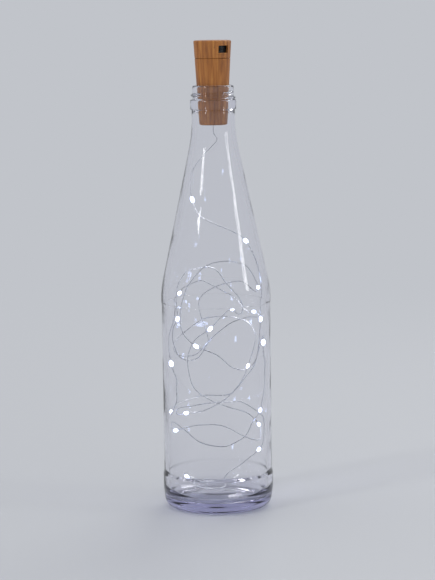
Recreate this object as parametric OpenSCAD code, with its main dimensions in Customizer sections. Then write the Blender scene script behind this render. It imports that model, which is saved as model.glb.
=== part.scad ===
// Cork bottle light: a clear glass bottle, a cork-shaped battery stopper and a wire string of tiny lights.
// Millimetres. The origin is the centre of the ring that the bottle stands on, and +Z is up.

/* [Bottle body] */
// Height of the bottle, from what it stands on to the lip
bottle_h = 260; // [250:1:290]
// Diameter of the straight panel
body_d = 66.8; // [66:0.2:70]
// How far the heel stands out past the panel
heel_step = 0.6; // [0.2:0.1:1]
// How far the band above the panel stands out past it
band_step = 0.4; // [0.2:0.1:0.8]
// Height of the panel's lower edge
panel_low_z = 20.6; // [18:0.2:23]
// Height of the panel's upper edge
panel_high_z = 125.4; // [118:0.2:128]
// Height at which the band's line meets the cone's line
shoulder_low_z = 135.3; // [132:0.1:140]
// Distance from the lip down to where the cone's line meets the neck's line
shoulder_high_drop = 29.6; // [28:0.1:33]
// Thickness of the glass wall
glass_t = 2.6; // [2:0.1:3]
// Radius that rounds the heel's outer corner
heel_round = 7.5; // [6:0.1:9]
// Outer radius of the flat ring that the bottle stands on, taken from the heel's curve inwards
stand_ring_w = 2.5; // [1.5:0.1:4]
// Height of the hollow under the base
punt_h = 4.2; // [3:0.1:5]
// Thickness of the base in the middle
base_t = 5.2; // [4:0.1:6.5]
// How much lower the floor is at its edge than in the middle
floor_fall = 3.4; // [2.5:0.1:4]

/* [Neck finish] */
// Bore of the mouth
mouth_d = 20; // [18:0.1:21]
// Diameter of the plain neck
neck_d = 26.4; // [25.6:0.1:27.2]
// Thickness of the glass round the mouth
lip_t = 2.6; // [2.2:0.1:3]
// Diameter of the bead under the thread
bead_d = 28; // [27.6:0.1:30]
// Height of the bead
bead_h = 5.8; // [4:0.1:6.5]
// Distance from the lip down to the underside of the bead
finish_h = 14.5; // [14:0.1:16]
// Depth of the bore before it widens into the neck
bore_h = 13; // [12:0.5:14]
// How far the thread stands out of the finish
thread_rise = 1.05; // [0.8:0.05:1.2]
// Climb of the thread in one turn
thread_pitch = 3.175; // [3:0.025:3.5]
// Turns of thread
thread_turns = 1.5; // [1:0.25:1.75]
// Distance from the lip down to the thread's upper end
thread_drop = 4.5; // [4:0.1:5]

/* [Cork stopper] */
// Height of the whole stopper
stopper_h = 51; // [50:0.5:56]
// How deep the stopper sits in the mouth
stopper_depth = 24; // [20:0.5:26]
// Gap between the stopper and the mouth's edge, on each side
stopper_gap = 0.12; // [0.05:0.01:0.2]
// Taper of the stopper on each side, in degrees
stopper_taper = 3.4; // [3:0.1:3.6]
// Thickness of the shell and of the cap's side
shell_t = 1.3; // [1.1:0.1:1.4]
// Thickness of the shell's bottom
shell_floor_t = 2; // [1.6:0.1:3]
// Height of the cap
cap_h = 10.8; // [10.6:0.1:11.4]
// Thickness of the cap's top
cap_top_t = 1.5; // [1.2:0.1:1.7]
// Depth of the bevel on each side of the seam
seam_bevel = 0.25; // [0.15:0.05:0.4]
// Gap between the shell and the cap
seam_gap = 0.15; // [0.05:0.05:0.25]
// How far the cap's collar reaches into the shell
collar_h = 3.5; // [3:0.1:5]
// Thickness of the collar
collar_t = 1; // [0.8:0.05:1.1]
// Gap between the collar and the shell
collar_gap = 0.15; // [0.1:0.01:0.2]
// Angle from the front to the switch, in degrees
stopper_turn = 37; // [0:1:90]
// Depth of the mould line down each side
mould_line = 0.15; // [0.1:0.05:0.3]

/* [Switch] */
// Width of the window in the cap
window_w = 7; // [6.6:0.1:7.4]
// Height of the window
window_h = 4.4; // [4:0.1:4.6]
// Distance from the cap's top down to the window's middle
window_drop = 5.2; // [5:0.1:5.4]
// Width of the rim round the window
window_rim_w = 0.8; // [0.5:0.1:0.9]
// How far the rim stands out
window_rim_rise = 0.2; // [0.1:0.05:0.4]
// Width of the switch body
switch_w = 8.4; // [8:0.1:8.6]
// Height of the switch body
switch_h = 5; // [4.8:0.1:5.2]
// Distance from the stopper's axis to the front of the switch
switch_front_r = 8.55; // [8.3:0.05:8.6]
// Depth of the switch body
switch_d = 3.2; // [3:0.1:3.4]
// Wall of the switch body
switch_wall = 0.6; // [0.5:0.05:0.7]
// Travel of the switch
switch_travel = 2; // [1.6:0.1:2.2]
// Width of the switch knob
knob_w = 2.2; // [2:0.1:2.6]
// Height of the switch knob
knob_h = 2.4; // [2:0.1:2.8]
// How far the knob stands out of the switch body
knob_rise = 1.6; // [1.2:0.1:2]
// Distance between the terminals
pin_pitch = 2; // [1.8:0.1:2.2]

/* [Cells and holder] */
// Diameter of a button cell
cell_d = 11.6; // [11.4:0.1:11.8]
// Height of a button cell
cell_h = 5.4; // [5.2:0.1:5.5]
// Gap round the cells in their holder
cell_gap = 0.2; // [0.1:0.05:0.3]
// Wall of the cell holder
holder_t = 1.2; // [1:0.1:1.3]
// Thickness of the holder's ends
holder_end_t = 1.4; // [1.2:0.1:1.6]
// Thickness of the contact metal
contact_t = 0.3; // [0.2:0.05:0.4]
// Space for the spring contact under the cells
spring_space = 2.4; // [2:0.1:3]
// Thickness of the circuit board
board_t = 1; // [0.8:0.1:1.2]
// Width of the circuit board
board_w = 10; // [9.4:0.1:10.6]

/* [Light string] */
// Width of the two bonded wires together
wire_d = 0.7; // [0.5:0.05:0.8]
// Length of a resin drop
drop_len = 4; // [3.4:0.1:4.6]
// Diameter of a resin drop
drop_d = 2.4; // [2:0.1:2.6]
// Side of the light chip in a drop
chip_w = 1; // [0.8:0.1:1.1]

/* [Hidden] */
$fn = 72;

// A cut runs this far past the face it starts from
past = 1;
// Running gap of the switch's sliding pieces
slide_gap = 0.05;
// Clearance of small pieces that are pushed into a hole
fit_gap = 0.05;

// Bottle radii and heights
panel_r = body_d / 2;
heel_r = panel_r + heel_step;
band_r = panel_r + band_step;
neck_r = neck_d / 2;
mouth_r = mouth_d / 2;
finish_r = mouth_r + lip_t;
bead_r = bead_d / 2;
lip_z = bottle_h;
bead_low_z = lip_z - finish_h;
bead_high_z = bead_low_z + bead_h;
shoulder_high_z = lip_z - shoulder_high_drop;
stand_out_r = heel_r - heel_round;
stand_in_r = stand_out_r - stand_ring_w;
floor_z = punt_h + base_t;
floor_edge_z = floor_z - floor_fall;
step_rise = 1;
shoulder_round = 60;
neck_round = 90;
inner_heel_round = 8;
punt_flat_r = 16;
inner_neck_r = neck_r - glass_t;

// Stopper heights, counted from its bottom
stopper_z = lip_z - stopper_depth;
seam_h = stopper_h - cap_h;
cap_low_h = seam_h + seam_gap;
function stopper_r(h) = mouth_r - stopper_gap + tan(stopper_taper) * (h - stopper_depth);
function inside_r(h) = stopper_r(h) - shell_t;
bottom_round = 1;
top_round = 0.8;
gland_r = 1.6;
gland_head_r = 2.6;
gland_head_h = 0.8;
gland_top_h = shell_floor_t + gland_head_h;
collar_low_h = seam_h - collar_h;
collar_r = inside_r(collar_low_h) - collar_gap;

// Window and switch, counted from the stopper's bottom, with the switch facing -Y
window_mid_h = stopper_h - window_drop;
switch_low_h = window_mid_h - switch_h / 2;
switch_front_y = -switch_front_r;
switch_back_y = switch_front_y + switch_d;
switch_base_t = 0.5;
stem_w = 1.2;
stem_h = 1.2;
carrier_w = 2.8;
carrier_h = 2.6;
carrier_t = 0.5;
wiper_h = 1.4;
wiper_t = 0.25;
wiper_leg_w = 0.5;
pad_w = 1.4;
pad_h = 1.2;
pad_t = 0.2;
pin_w = 0.5;
pin_t = 0.3;
pin_past_board = 0.5;
rest_x = -switch_travel / 2;

// Holder and cells, counted from the stopper's bottom
cell_r = cell_d / 2;
holder_in_r = cell_r + cell_gap;
holder_r = holder_in_r + holder_t;
holder_top_h = collar_low_h + 1.7;
holder_deck_h = holder_top_h - holder_end_t;
cells_top_h = holder_deck_h - contact_t;
cells_low_h = cells_top_h - 3 * cell_h;
holder_floor_h = cells_low_h - spring_space;
holder_low_h = holder_floor_h - holder_end_t;
board_low_h = holder_top_h + 0.1;
board_high_h = stopper_h - cap_top_t - 0.6;
board_front_y = switch_back_y;
board_back_y = board_front_y + board_t;
lead_d = 0.8;
groove_r = 0.65;
groove_x = 3;
groove_y = holder_in_r + 0.3;
tab_rise = 1;
tab_y = board_back_y + 0.15;
spring_tab_y = groove_y - 1.4;
spring_tab_drop = 0.9;
solder_r = 0.75;
wire_hole_h = board_low_h + 1.6;

// Light string. The points are chosen by hand: x, y and z of the wire from the stopper to its last light.
drop_route = [
    [0, 0, 236], [0, 0, 231], [2, -1, 227], [-1, -2, 223], [-6, -3, 218], [-12, -3, 210],
    [-14, -4, 203], [-14, -6, 196], [-13, -7, 191], [-9, -13, 182], [0, -18, 177],
    [11, -18, 172], [18, -13, 166], [23, -9, 156]
];
loop_route = [
    [23, -9, 156], [27, -2, 144], [29, 5, 131], [28, 8, 125], [28, 6, 115], [26, -5, 104], [23, -15, 93],
    [17, -23, 89], [9, -27, 91], [0, -29, 99], [-12, -26, 104], [-20, -20, 112],
    [-21, -18, 124], [-18, -20, 136], [-15, -21, 142], [-6, -24, 152], [6, -24, 155],
    [17, -19, 152], [21, -16, 147], [24, -9, 141], [26, -2, 136], [26, 6, 133],
    [24, 13, 132], [18, 22, 136], [12, 26, 136], [1, 28, 133], [-10, 26, 126],
    [-10, 26, 116], [-6, 28, 103], [-6, 28, 97], [-13, 25, 88], [-23, 17, 90],
    [-27, 4, 101], [-26, -9, 112], [-23, -14, 119], [-23, -17, 125], [-23, -16, 137],
    [-18, -16, 147], [-8, -20, 151], [0, -23, 150], [6, -25, 142], [12, -23, 135],
    [15, -21, 130], [16, -15, 125], [15, -8, 121], [13, -1, 120], [10, 6, 122],
    [7, 12, 120], [4, 17, 116], [-4, 22, 107], [-13, 21, 101], [-18, 19, 92],
    [-18, 19, 81], [-14, 22, 69], [-4, 26, 61], [8, 28, 56], [19, 20, 54],
    [26, 8, 49], [26, -6, 44], [24, -12, 43], [17, -23, 47], [6, -28, 54],
    [0, -29, 56], [-7, -28, 56], [-14, -25, 55], [-25, -13, 50], [-28, -6, 50],
    [-29, 2, 51], [-28, 8, 51], [-22, 20, 44], [-11, 27, 34], [4, 28, 31],
    [14, 24, 36], [19, 15, 42], [22, 9, 50], [27, 7, 58], [29, 0, 72],
    [29, -6, 89], [28, -8, 96], [28, -8, 103], [29, -1, 106], [29, 6, 104],
    [26, 13, 92], [24, 18, 84], [19, 22, 77], [11, 26, 67], [5, 28, 64],
    [-8, 28, 64], [-14, 25, 63], [-25, 14, 62], [-29, 0, 59], [-28, -8, 59],
    [-26, -12, 63], [-24, -15, 69], [-24, -16, 76], [-24, -15, 82], [-27, -11, 91],
    [-29, -4, 105], [-26, -7, 116], [-25, -6, 121], [-25, -1, 125], [-26, 6, 128],
    [-23, 12, 131], [-20, 17, 134], [-11, 24, 137], [-6, 25, 136], [3, 25, 131],
    [12, 24, 126], [20, 17, 119], [24, 12, 119], [27, 4, 118], [26, -4, 118],
    [24, -12, 119], [19, -18, 120], [9, -26, 118], [-1, -29, 111], [-5, -25, 106],
    [-13, -21, 98], [-23, -14, 97], [-26, -2, 102], [-21, 14, 106], [-10, 23, 112],
    [-3, 25, 114], [10, 25, 114], [21, 18, 111], [25, 13, 105], [24, 13, 98],
    [20, 17, 84], [15, 22, 73], [5, 25, 62], [-9, 24, 55], [-20, 17, 55],
    [-25, 6, 56], [-25, -6, 61], [-22, -13, 64], [-14, -23, 67], [-8, -28, 69],
    [0, -29, 70], [8, -28, 70], [15, -25, 69], [25, -13, 60], [28, -6, 54],
    [29, 4, 40], [26, 9, 33], [18, 18, 24], [8, 21, 17], [4, 18, 13],
    [4, 11, 9], [-2, 1, 10], [-12, -7, 13], [-19, -10, 20], [-21, -9, 23]
];
// Which points of the route carry a light, counted along the drop and then along the loops
drop_lights = [8, 12];
loop_lights = [4, 10, 20, 34, 46, 49, 57, 65, 75, 79, 90, 96, 102, 109, 127, 131, 143, 150];

// Geometry helpers
function unit(v) = v / norm(v);
function flat(lists) = [for (l = lists) each l];

// Points of an arc that rounds the corner b between a and c
function corner(a, b, c, r, n = 6) =
    let (u = unit(a - b), v = unit(c - b), half = acos(u * v) / 2)
    let (centre = b + unit(u + v) * r / sin(half))
    let (s = b + u * r / tan(half) - centre, e = b + v * r / tan(half) - centre)
    let (from = atan2(s.y, s.x), turn = atan2(s.x * e.y - s.y * e.x, s * e))
    [for (i = [0:n]) centre + r * [cos(from + turn * i / n), sin(from + turn * i / n)]];

// An outline from rows of [point, radius, steps]: the first and last rows are plain points
function outline(rows) =
    let (last = len(rows) - 1)
    flat([for (i = [0:last]) let (row = rows[i])
        row[1] == 0 ? [row[0]] : corner(rows[i - 1][0], row[0], rows[i + 1][0], row[1], row[2])]);

// A smooth curve through the points, with the given steps to each span
function through(p, steps) =
    let (n = len(p), q = [2 * p[0] - p[1], each p, 2 * p[n - 1] - p[n - 2]])
    [for (i = [0:n - 2], k = [0:i == n - 2 ? steps : steps - 1])
        let (t = k / steps, a = q[i], b = q[i + 1], c = q[i + 2], d = q[i + 3])
        (2 * b + (c - a) * t + (2 * a - 5 * b + 4 * c - d) * t * t + (3 * b - a - 3 * c + d) * t * t * t) / 2];

function headings(p) = [for (i = [0:len(p) - 1])
    unit(p[min(i + 1, len(p) - 1)] - p[max(i - 1, 0)])];

// Side directions that turn as little as they can from one ring to the next
function sides(t) = [for (i = 0, s = unit(cross(t[0], abs(t[0].x) < 0.9 ? [1, 0, 0] : [0, 1, 0]));
    i < len(t);
    i = i + 1, s = i < len(t) ? unit(s - (s * t[i]) * t[i]) : s) s];

// A tube round the curve, closed with a flat face at each end
module tube(p, d, n = 6) {
    t = headings(p);
    s = sides(t);
    rings = [for (i = [0:len(p) - 1], k = [0:n - 1])
        p[i] + d / 2 * (cos(360 * k / n) * s[i] + sin(360 * k / n) * cross(t[i], s[i]))];
    last = n * (len(p) - 1);
    skin = [for (i = [0:len(p) - 2], k = [0:n - 1])
        let (a = n * i + k, b = n * i + (k + 1) % n) each [[a, a + n, b], [b, a + n, b + n]]];
    polyhedron(rings, concat(skin, [[for (k = [0:n - 1]) k], [for (k = [n - 1:-1:0]) last + k]]));
}

// Least distance between the wire's middle line and itself, left out where it is the same bend
function least_apart(p, skip) = min([for (i = [0:len(p) - 1 - skip], j = [i + skip:len(p) - 1]) norm(p[i] - p[j])]);

function path_length(p) = [for (i = [1:len(p) - 1]) norm(p[i] - p[i - 1])] * [for (i = [1:len(p) - 1]) 1];

// Puts a piece in the stopper's own frame: from its bottom up, with the switch facing -Y
module in_stopper() {
    translate([0, 0, stopper_z])
        rotate([0, 0, stopper_turn])
            children();
}

// A disc or ring standing on height h
module ring_at(h, r, t, hole = 0) {
    translate([0, 0, h])
        difference() {
            cylinder(r = r, h = t);
            if (hole > 0) {
                translate([0, 0, -past])
                    cylinder(r = hole, h = t + 2 * past);
            }
        }
}

// A box with its middle at x, its face at y and its foot at h
module block_at(x, y, h, size) {
    translate([x - size.x / 2, y, h])
        cube(size);
}

// Bottle
module glass_thread() {
    step = 10;
    count = 360 * thread_turns / step;
    root = 0.5;
    root_w = 1.2;
    crest_w = 0.35;
    fade = 3;
    section = [[-root, -root_w], [thread_rise, -crest_w], [thread_rise, crest_w], [-root, root_w]];
    n = len(section);
    points = [for (i = [0:count], q = section)
        let (a = -i * step, end = min(1, min(i, count - i) / fade))
        let (r = finish_r + (q.x > 0 ? q.x * end - 0.15 * (1 - end) : q.x))
        [r * cos(a), r * sin(a), lip_z - thread_drop - thread_pitch * i * step / 360 + q.y]];
    last = n * count;
    skin = [for (i = [0:count - 1], k = [0:n - 1])
        let (a = n * i + k, b = n * i + (k + 1) % n) each [[a, a + n, b], [b, a + n, b + n]]];
    polyhedron(points, concat(skin, [[for (k = [0:n - 1]) k], [for (k = [n - 1:-1:0]) last + k]]));
}

module glass_body() {
    inner_band_r = band_r - glass_t;
    rows = [
        [[0, punt_h], 0],
        [[punt_flat_r, punt_h - 0.6], 20, 5],
        [[stand_in_r, 0], 0.8, 3],
        [[heel_r, 0], heel_round, 10],
        [[heel_r, panel_low_z - step_rise], 1, 3],
        [[panel_r, panel_low_z], 1, 3],
        [[panel_r, panel_high_z], 0.8, 3],
        [[band_r, panel_high_z + step_rise], 0.8, 3],
        [[band_r, shoulder_low_z], shoulder_round, 8],
        [[neck_r, shoulder_high_z], neck_round, 8],
        [[neck_r, bead_low_z], 0.7, 3],
        [[bead_r, bead_low_z], 0.3, 3],
        [[bead_r, bead_high_z], 0.6, 4],
        [[finish_r, bead_high_z], 0.5, 3],
        [[finish_r, lip_z], 1.2, 6],
        [[mouth_r, lip_z], 0.7, 5],
        [[mouth_r, lip_z - bore_h], 2, 3],
        [[inner_neck_r, lip_z - bore_h - 4], 2, 3],
        [[inner_neck_r, shoulder_high_z], neck_round - glass_t, 8],
        [[inner_band_r, shoulder_low_z], shoulder_round - glass_t, 8],
        [[inner_band_r, panel_high_z], 2, 3],
        [[panel_r - glass_t, panel_high_z - step_rise], 2, 3],
        [[panel_r - glass_t, floor_edge_z], inner_heel_round, 8],
        [[0, floor_z], 0]
    ];
    rotate_extrude($fn = 120)
        polygon(outline(rows));
}

module bottle() {
    color([0.80, 0.83, 0.95, 0.35])
        union() {
            glass_body();
            glass_thread();
        }
}

// Stopper shell and its gland
module mould_lines(low, high) {
    for (side = [-1, 1]) {
        hull() {
            for (h = [low, high]) {
                translate([side * stopper_r(h), 0, h])
                    cube([2 * mould_line, 2 * mould_line, 0.02], center = true);
            }
        }
    }
}

module cork_shell() {
    rows = [
        [[gland_r + fit_gap, 0], 0],
        [[stopper_r(0), 0], bottom_round, 5],
        [[stopper_r(seam_h - seam_bevel), seam_h - seam_bevel], 0],
        [[stopper_r(seam_h) - seam_bevel, seam_h], 0],
        [[inside_r(seam_h), seam_h], 0],
        [[inside_r(shell_floor_t), shell_floor_t], 0],
        [[gland_r + fit_gap, shell_floor_t], 0]
    ];
    color([0.66, 0.47, 0.26])
        in_stopper()
            difference() {
                rotate_extrude()
                    polygon(outline(rows));
                mould_lines(-past, seam_h + past);
            }
}

module wire_gland() {
    color([0.75, 0.72, 0.66])
        in_stopper() {
            cylinder(r = gland_r, h = shell_floor_t);
            ring_at(shell_floor_t, gland_head_r, gland_head_h);
        }
}

// Cap with its collar and its switch window
module cap_skin(out) {
    rows = [
        [[0, cap_low_h], 0],
        [[stopper_r(cap_low_h) - seam_bevel + out, cap_low_h], 0],
        [[stopper_r(cap_low_h + seam_bevel) + out, cap_low_h + seam_bevel], 0],
        [[stopper_r(stopper_h) + out, stopper_h + out], top_round, 5],
        [[0, stopper_h + out], 0]
    ];
    rotate_extrude()
        polygon(outline(rows));
}

module cap() {
    rim = [window_w + 2 * window_rim_w, stopper_r(stopper_h), window_h + 2 * window_rim_w];
    room = [[0, cap_low_h - past], [inside_r(cap_low_h - past), cap_low_h - past],
        [inside_r(stopper_h - cap_top_t), stopper_h - cap_top_t], [0, stopper_h - cap_top_t]];
    collar = [[collar_r - collar_t, collar_low_h], [collar_r, collar_low_h],
        [inside_r(cap_low_h) - collar_gap, cap_low_h], [inside_r(cap_low_h) + 0.4, cap_low_h],
        [inside_r(cap_low_h) + 0.4, cap_low_h + 0.6], [collar_r - collar_t, cap_low_h + 0.6]];
    color([0.66, 0.47, 0.26])
        in_stopper()
            difference() {
                union() {
                    difference() {
                        union() {
                            cap_skin(0);
                            intersection() {
                                cap_skin(window_rim_rise);
                                block_at(0, -rim.y - 2 * past, window_mid_h - rim.z / 2, [rim.x, rim.y, rim.z]);
                            }
                        }
                        rotate_extrude()
                            polygon(room);
                    }
                    rotate_extrude()
                        polygon(collar);
                }
                block_at(0, -2 * switch_front_r, window_mid_h - window_h / 2, [window_w, 2 * switch_front_r - 4, window_h]);
                block_at(0, switch_front_y - 0.15, switch_low_h - 0.15, [switch_w + 0.3, 3, switch_h + 0.3]);
                mould_lines(seam_h - 0.5, stopper_h + past);
            }
}

// Cell holder: a half tube between two ends, open towards the switch side, with two grooves for the leads
module battery_holder() {
    color([0.20, 0.20, 0.21])
        in_stopper()
            difference() {
                union() {
                    ring_at(holder_low_h, holder_r, holder_end_t);
                    ring_at(holder_deck_h, collar_r - collar_t - fit_gap, holder_end_t);
                    intersection() {
                        ring_at(holder_low_h, holder_r, holder_deck_h + holder_end_t - holder_low_h, holder_in_r);
                        block_at(0, 0, holder_low_h, [3 * holder_r, 3 * holder_r, holder_deck_h + holder_end_t - holder_low_h]);
                    }
                }
                for (side = [-1, 1]) {
                    translate([side * groove_x, groove_y, holder_low_h - past])
                        cylinder(r = groove_r, h = holder_top_h - holder_low_h + 2 * past);
                    block_at(side * groove_x, groove_y, holder_low_h - past,
                        [2 * groove_r, holder_r, holder_top_h - holder_low_h + 2 * past]);
                }
                positive_tab(fit_gap);
                spring_tab(fit_gap);
            }
}

module button_cell(k) {
    rim = 0.6;
    cap_r = cell_r - 1.1;
    h = cells_low_h + k * cell_h;
    color([0.78, 0.78, 0.80])
        in_stopper() {
            ring_at(h, cap_r, rim);
            ring_at(h + rim, cell_r, cell_h - rim);
        }
}

// Contacts
module positive_tab(grow) {
    block_at(0, tab_y - grow, cells_top_h, [1.6 + 2 * grow, contact_t + 2 * grow, tab_top_h - cells_top_h]);
}

module positive_contact() {
    color([0.85, 0.80, 0.62])
        in_stopper() {
            ring_at(cells_top_h, cell_r - 1.6, contact_t);
            positive_tab(0);
        }
}

module spring_tab(grow) {
    block_at(groove_x, spring_tab_y - grow, holder_low_h - spring_tab_drop,
        [1.2 + 2 * grow, contact_t + 2 * grow, spring_tab_drop + holder_end_t + contact_t]);
}

module spring_contact() {
    leaf = 6.4;
    rise = asin((spring_space - contact_t - fit_gap) / leaf);
    color([0.80, 0.80, 0.82])
        in_stopper() {
            block_at(0, -3, holder_floor_h, [2.6, 6, contact_t]);
            block_at(groove_x / 2, spring_tab_y - 2.2, holder_floor_h, [groove_x + 1.2, 2.2 + contact_t, contact_t]);
            spring_tab(0);
            translate([0, -3, holder_floor_h])
                rotate([rise, 0, 0])
                    block_at(0, 0, 0, [2.2, leaf, contact_t]);
        }
}

// Board, resistor and solder
module at_pins() {
    for (k = [-1:1]) {
        translate([k * pin_pitch, 0, window_mid_h])
            children();
    }
}

module pin(grow) {
    block_at(0, switch_back_y - switch_base_t - past * grow, -pin_t / 2 - grow,
        [pin_w + 2 * grow, switch_base_t + board_t + pin_past_board + 2 * past * grow, pin_t + 2 * grow]);
}

module circuit_board() {
    color([0.10, 0.36, 0.20])
        in_stopper()
            difference() {
                block_at(0, board_front_y, board_low_h, [board_w, board_t, board_high_h - board_low_h]);
                at_pins()
                    pin(fit_gap);
                wire_end_hole();
            }
}

// The bonded wires end on the board's back at this place
module wire_end_hole() {
    translate([-groove_x, board_front_y - past, wire_hole_h])
        rotate([-90, 0, 0])
            cylinder(r = 0.4, h = board_t + 2 * past);
}

module resistor() {
    color([0.12, 0.12, 0.13])
        in_stopper()
            block_at(2.6, board_back_y, board_low_h + 1.1, [3.2, 0.6, 1.6]);
}

module solder_joints() {
    color([0.80, 0.80, 0.82])
        in_stopper()
            difference() {
                at_pins()
                    translate([0, board_back_y, 0])
                        rotate([-90, 0, 0])
                            cylinder(r1 = solder_r, r2 = 0.5, h = 0.35);
                at_pins()
                    pin(0);
            }
}

// Slide switch
module switch_housing() {
    inner = [switch_w - 2 * switch_wall, switch_d - switch_wall, switch_h - 2 * switch_wall];
    slot_w = stem_w + switch_travel + 2 * slide_gap + 0.2;
    color([0.06, 0.06, 0.07])
        in_stopper()
            difference() {
                block_at(0, switch_front_y, switch_low_h, [switch_w, switch_d, switch_h]);
                block_at(0, switch_front_y + switch_wall, switch_low_h + switch_wall, [inner.x, inner.y + past, inner.z]);
                block_at(0, switch_front_y - past, window_mid_h - stem_h / 2 - slide_gap,
                    [slot_w, 2 * past, stem_h + 2 * slide_gap]);
            }
}

module switch_base() {
    color([0.45, 0.30, 0.16])
        in_stopper()
            difference() {
                block_at(0, switch_back_y - switch_base_t, switch_low_h + switch_wall + fit_gap,
                    [switch_w - 2 * switch_wall - 2 * fit_gap, switch_base_t, switch_h - 2 * switch_wall - 2 * fit_gap]);
                at_pins()
                    pin(fit_gap);
            }
}

module switch_terminals() {
    color([0.85, 0.80, 0.62])
        in_stopper()
            at_pins() {
                pin(0);
                block_at(0, switch_back_y - switch_base_t - pad_t, -pad_h / 2, [pad_w, pad_t, pad_h]);
            }
}

// Knob with its stem and carrier: at rest it stands at the side of the window that switches the light on
module switch_knob() {
    ridge_w = 0.3;
    color([0.09, 0.09, 0.10])
        in_stopper()
            translate([rest_x, 0, window_mid_h]) {
                difference() {
                    block_at(0, switch_front_y - slide_gap - knob_rise, -knob_h / 2, [knob_w, knob_rise, knob_h]);
                    for (k = [-1:1]) {
                        block_at(k * 2 * ridge_w, switch_front_y - slide_gap - knob_rise - past, -knob_h,
                            [ridge_w, past + 0.25, 2 * knob_h]);
                    }
                }
                block_at(0, switch_front_y - slide_gap, -stem_h / 2, [stem_w, switch_wall + 2 * slide_gap, stem_h]);
                block_at(0, switch_front_y + switch_wall + slide_gap, -carrier_h / 2, [carrier_w, carrier_t, carrier_h]);
            }
}

module switch_wiper() {
    back_y = switch_front_y + switch_wall + slide_gap + carrier_t;
    reach = switch_back_y - switch_base_t - pad_t - slide_gap - back_y;
    color([0.85, 0.72, 0.40])
        in_stopper()
            translate([rest_x, 0, window_mid_h]) {
                block_at(0, back_y, -wiper_h / 2, [pin_pitch + wiper_leg_w, wiper_t, wiper_h]);
                for (side = [-1, 1]) {
                    block_at(side * pin_pitch / 2, back_y, -wiper_h / 2, [wiper_leg_w, reach, wiper_h]);
                }
            }
}

// Leads inside the stopper. Their points are chosen by hand, in the stopper's own frame.
lead_y = board_back_y + lead_d / 2 + fit_gap;
solder_low_h = window_mid_h - solder_r;
tab_top_h = holder_top_h + tab_rise;
lead_low_h = holder_low_h - spring_tab_drop / 2;
coil_low_h = gland_top_h + 1.4;
coil_span = holder_low_h - 2.7 - coil_low_h;
positive_route = [[0, tab_y + contact_t / 2, tab_top_h], [0, lead_y + 0.05, tab_top_h + 1.2],
    [0, lead_y + 0.1, (tab_top_h + solder_low_h) / 2], [0, lead_y + 0.05, solder_low_h - 1.2],
    [0, lead_y, solder_low_h - fit_gap]];
negative_route = concat(
    [for (q = [[-1.1, 0], [-0.6, 0], [-0.15, 0.15], [0, 0.65]]) [groove_x, groove_y + q[0], lead_low_h + q[1]]],
    [for (k = [0:4]) [groove_x, groove_y, holder_low_h + 1.4 + k * (holder_top_h - holder_low_h - 2) / 4]],
    [[groove_x - 0.1, groove_y - 1.3, holder_top_h + 2], [groove_x - 0.3, 2, holder_top_h + 3],
    [2.4, -1, holder_top_h + 3.8], [pin_pitch + 0.1, lead_y + 0.8, solder_low_h - 1.8],
    [pin_pitch, lead_y + 0.05, solder_low_h - 0.8], [pin_pitch, lead_y, solder_low_h - fit_gap]]);
inner_route = concat(
    [[-groove_x, board_front_y + board_t / 2, wire_hole_h], [-groove_x, board_back_y + 0.4, wire_hole_h],
    [-groove_x, board_back_y + 2.4, wire_hole_h + 0.1], [-groove_x, 1.5, wire_hole_h + 0.3],
    [-groove_x, groove_y - 1.8, wire_hole_h + 0.1], [-groove_x, groove_y - 0.2, holder_top_h + 1]],
    [for (k = [0:4]) [-groove_x, groove_y, holder_top_h - 0.4 - k * (holder_top_h - holder_low_h - 0.7) / 4]],
    [for (q = [[-3.2, 6, 1], [-6, 3, 0.84], [-6.4, -2, 0.73], [-3, -6, 0.63], [3, -6, 0.53], [6, -1, 0.43],
        [3.4, 4.4, 0.33], [-1.6, 4, 0.22], [-2, 0.6, 0.12]]) [q[0], q[1], coil_low_h + q[2] * coil_span]],
    [[0, 0, coil_low_h], [0, 0, gland_top_h]]);

module positive_lead() {
    color([0.70, 0.10, 0.08])
        in_stopper()
            tube(through(positive_route, 2), lead_d, 8);
}

module negative_lead() {
    color([0.10, 0.10, 0.10])
        in_stopper()
            tube(through(negative_route, 2), lead_d, 8);
}

module inner_lead() {
    color([0.80, 0.80, 0.82])
        in_stopper()
            tube(through(inner_route, 2), wire_d, 8);
}

// Light string in the bottle
string_route = concat(drop_route, [for (i = [1:len(loop_route) - 1]) loop_route[i]]);
string_steps = 2;
string_curve = through(string_route, string_steps);
string_cut = (len(drop_route) - 1) * string_steps;
string_heading = headings(string_curve);
light_points = concat(drop_lights, [for (i = loop_lights) i + len(drop_route) - 1]);

module wire_drop() {
    color([0.80, 0.80, 0.82])
        tube([for (i = [0:string_cut]) string_curve[i]], wire_d);
}

module wire_loops() {
    measured = through(loop_route, 3);
    whole = through(string_route, 3);
    echo(least_gap_of_the_wire_to_itself = least_apart(measured, 5) - wire_d);
    echo(length_of_the_string = path_length(whole));
    color([0.80, 0.80, 0.82])
        tube([for (i = [string_cut:len(string_curve) - 1]) string_curve[i]], wire_d);
}

module at_lights() {
    for (i = light_points) {
        k = i * string_steps;
        t = string_heading[k];
        translate(string_curve[k])
            rotate([0, acos(t.z), atan2(t.y, t.x)])
                children();
    }
}

module led_drops() {
    rows = [for (a = [0:22.5:180]) [drop_d / 2 * sin(a), -drop_len / 2 * cos(a)]];
    color([0.90, 0.95, 1.00])
        at_lights()
            rotate_extrude($fn = 24)
                polygon(rows);
}

module led_chips() {
    color([0.95, 0.90, 0.55])
        at_lights()
            translate([0, 0, -chip_w / 2])
                block_at(0, -chip_w / 2, 0, [chip_w, chip_w, chip_w]);
}

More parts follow.
